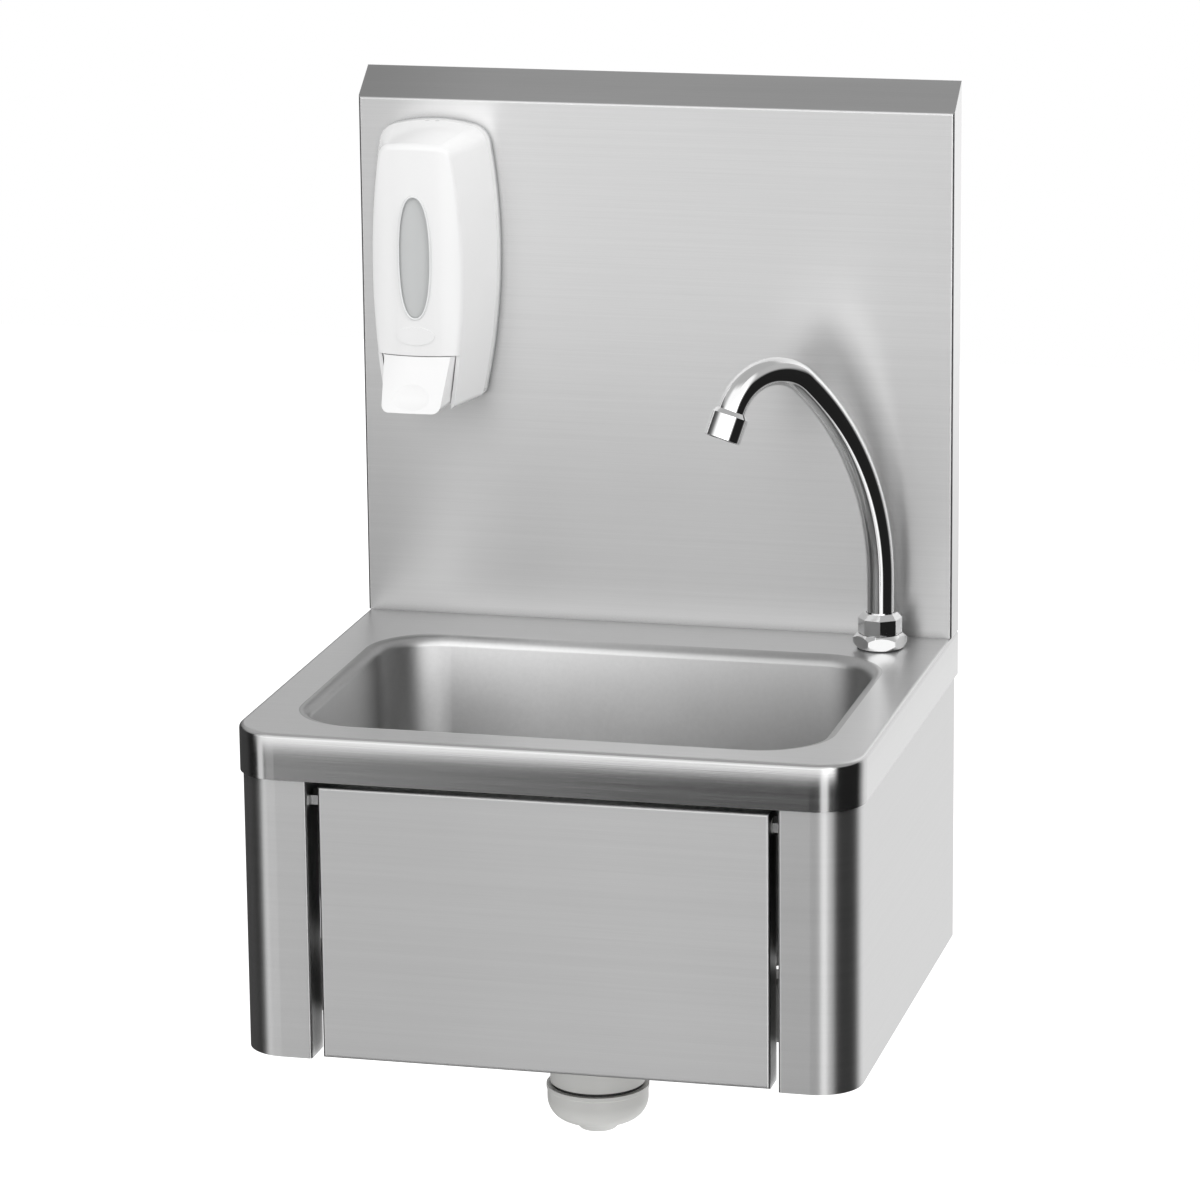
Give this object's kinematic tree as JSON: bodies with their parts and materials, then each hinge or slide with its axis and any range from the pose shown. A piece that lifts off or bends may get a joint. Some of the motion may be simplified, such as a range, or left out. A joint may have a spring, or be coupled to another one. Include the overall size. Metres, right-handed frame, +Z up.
{
  "type": "hand wash sink",
  "caption": "Wall-hung stainless steel hand wash sink with tall splashback, swan-neck spout, soap dispenser, knee-operated front panel and bottle trap.",
  "frame": {"origin": "midway between the two wall-fixing holes of the rear rail, in the wall plane", "axes": "+X to the sink's right as seen from the front, +Y into the wall, +Z up"},
  "size_m": [0.4, 0.34, 0.661],
  "materials": {
    "brushed_steel": "fine horizontal grain, satin",
    "rail_steel": "plain mill finish",
    "fastener_steel": "bright",
    "spring_steel": "drawn wire",
    "grid_steel": "polished",
    "chrome": "mirror plated",
    "brass": "turned",
    "plunger_steel": "ground",
    "pipe_copper": "drawn copper",
    "rubber": "matt",
    "bush_plastic": "moulded",
    "trap_plastic": "moulded, light grey white",
    "white_plastic": "gloss",
    "plate_plastic": "moulded, grey",
    "window_plastic": "smoked translucent",
    "tank_plastic": "moulded, milky"
  },
  "bodies": {
    "casing": {"deck": "brushed_steel", "bowl": "brushed_steel", "splashback": "brushed_steel", "left_casing_panel": "brushed_steel", "right_casing_panel": "brushed_steel", "rear_wall_rail": "rail_steel", "cross_rail": "rail_steel", "pivot_bolts": "fastener_steel", "pivot_nuts": "fastener_steel", "pivot_end_nuts": "fastener_steel", "waste_screw": "fastener_steel", "dispenser_screws": "fastener_steel", "cover_hinge_pins": "fastener_steel", "tap_washer": "fastener_steel", "valve_spring": "spring_steel", "pump_spring": "spring_steel", "waste_grid": "grid_steel", "tap_base": "chrome", "union_nut": "chrome", "pipe_nuts": "chrome", "valve_body": "brass", "valve_cap": "brass", "valve_lock_nut": "brass", "tap_back_nut": "brass", "supply_pipe": "pipe_copper", "tap_gasket": "rubber", "waste_gasket": "rubber", "trap_seal": "rubber", "swivel_washer": "rubber", "waste_body": "trap_plastic", "trap_top_nut": "trap_plastic", "trap_body": "trap_plastic", "dip_tube": "trap_plastic", "trap_cup": "trap_plastic", "outlet_nut": "trap_plastic", "outlet_pipe": "trap_plastic", "dispenser_back_plate": "plate_plastic", "lock_catch": "plate_plastic", "soap_reservoir": "tank_plastic", "reservoir_lid": "tank_plastic", "pump_body": "tank_plastic", "pump_nozzle": "tank_plastic"},
    "spout": {"spout_tube": "chrome", "aerator_housing": "chrome", "aerator_insert": "bush_plastic"},
    "knee_panel": {"knee_panel": "brushed_steel", "pivot_bushes": "bush_plastic", "push_pad": "rubber"},
    "valve_plunger": {"valve_plunger": "plunger_steel"},
    "dispenser_cover": {"dispenser_cover": "white_plastic", "dispenser_window": "window_plastic", "lever_pins": "fastener_steel"},
    "dispenser_lever": {"dispenser_lever": "white_plastic"},
    "pump_plunger": {"pump_plunger": "tank_plastic"}
  },
  "joints": [
    {"name": "spout_swivel", "type": "hinge", "parent": "casing", "child": "spout", "pos_m": [0.158, -0.055, 0.08], "axis": [0, 0, 1], "range_deg": [-45, 75]},
    {"name": "knee_panel_swing", "type": "hinge", "parent": "casing", "child": "knee_panel", "pos_m": [0, -0.324, 0.0175], "axis": [1, 0, 0], "range_deg": [0, 5], "stiffness_Nm_per_rad": 20, "springref_deg": -2.86},
    {"name": "valve_stroke", "type": "slide", "parent": "casing", "child": "valve_plunger", "axis": [0, 1, 0], "range_m": [0, 0.012], "deforming": ["valve_spring"]},
    {"name": "cover_swing", "type": "hinge", "parent": "casing", "child": "dispenser_cover", "pos_m": [-0.146, -0.033, 0.218], "axis": [1, 0, 0], "range_deg": [0, 90]},
    {"name": "lever_push", "type": "hinge", "parent": "dispenser_cover", "child": "dispenser_lever", "pos_m": [-0.146, -0.068, 0.2459], "axis": [1, 0, 0], "range_deg": [0, 10], "stiffness_Nm_per_rad": 2, "springref_deg": -2.86},
    {"name": "pump_stroke", "type": "slide", "parent": "casing", "child": "pump_plunger", "axis": [0, 1, 0], "range_m": [0, 0.004], "deforming": ["pump_spring"]}
  ],
  "couplings": [
    {"joint": "valve_stroke", "follows": "knee_panel_swing", "m_per_rad": 0.135},
    {"joint": "pump_stroke", "follows": "lever_push", "m_per_rad": 0.0189}
  ]
}
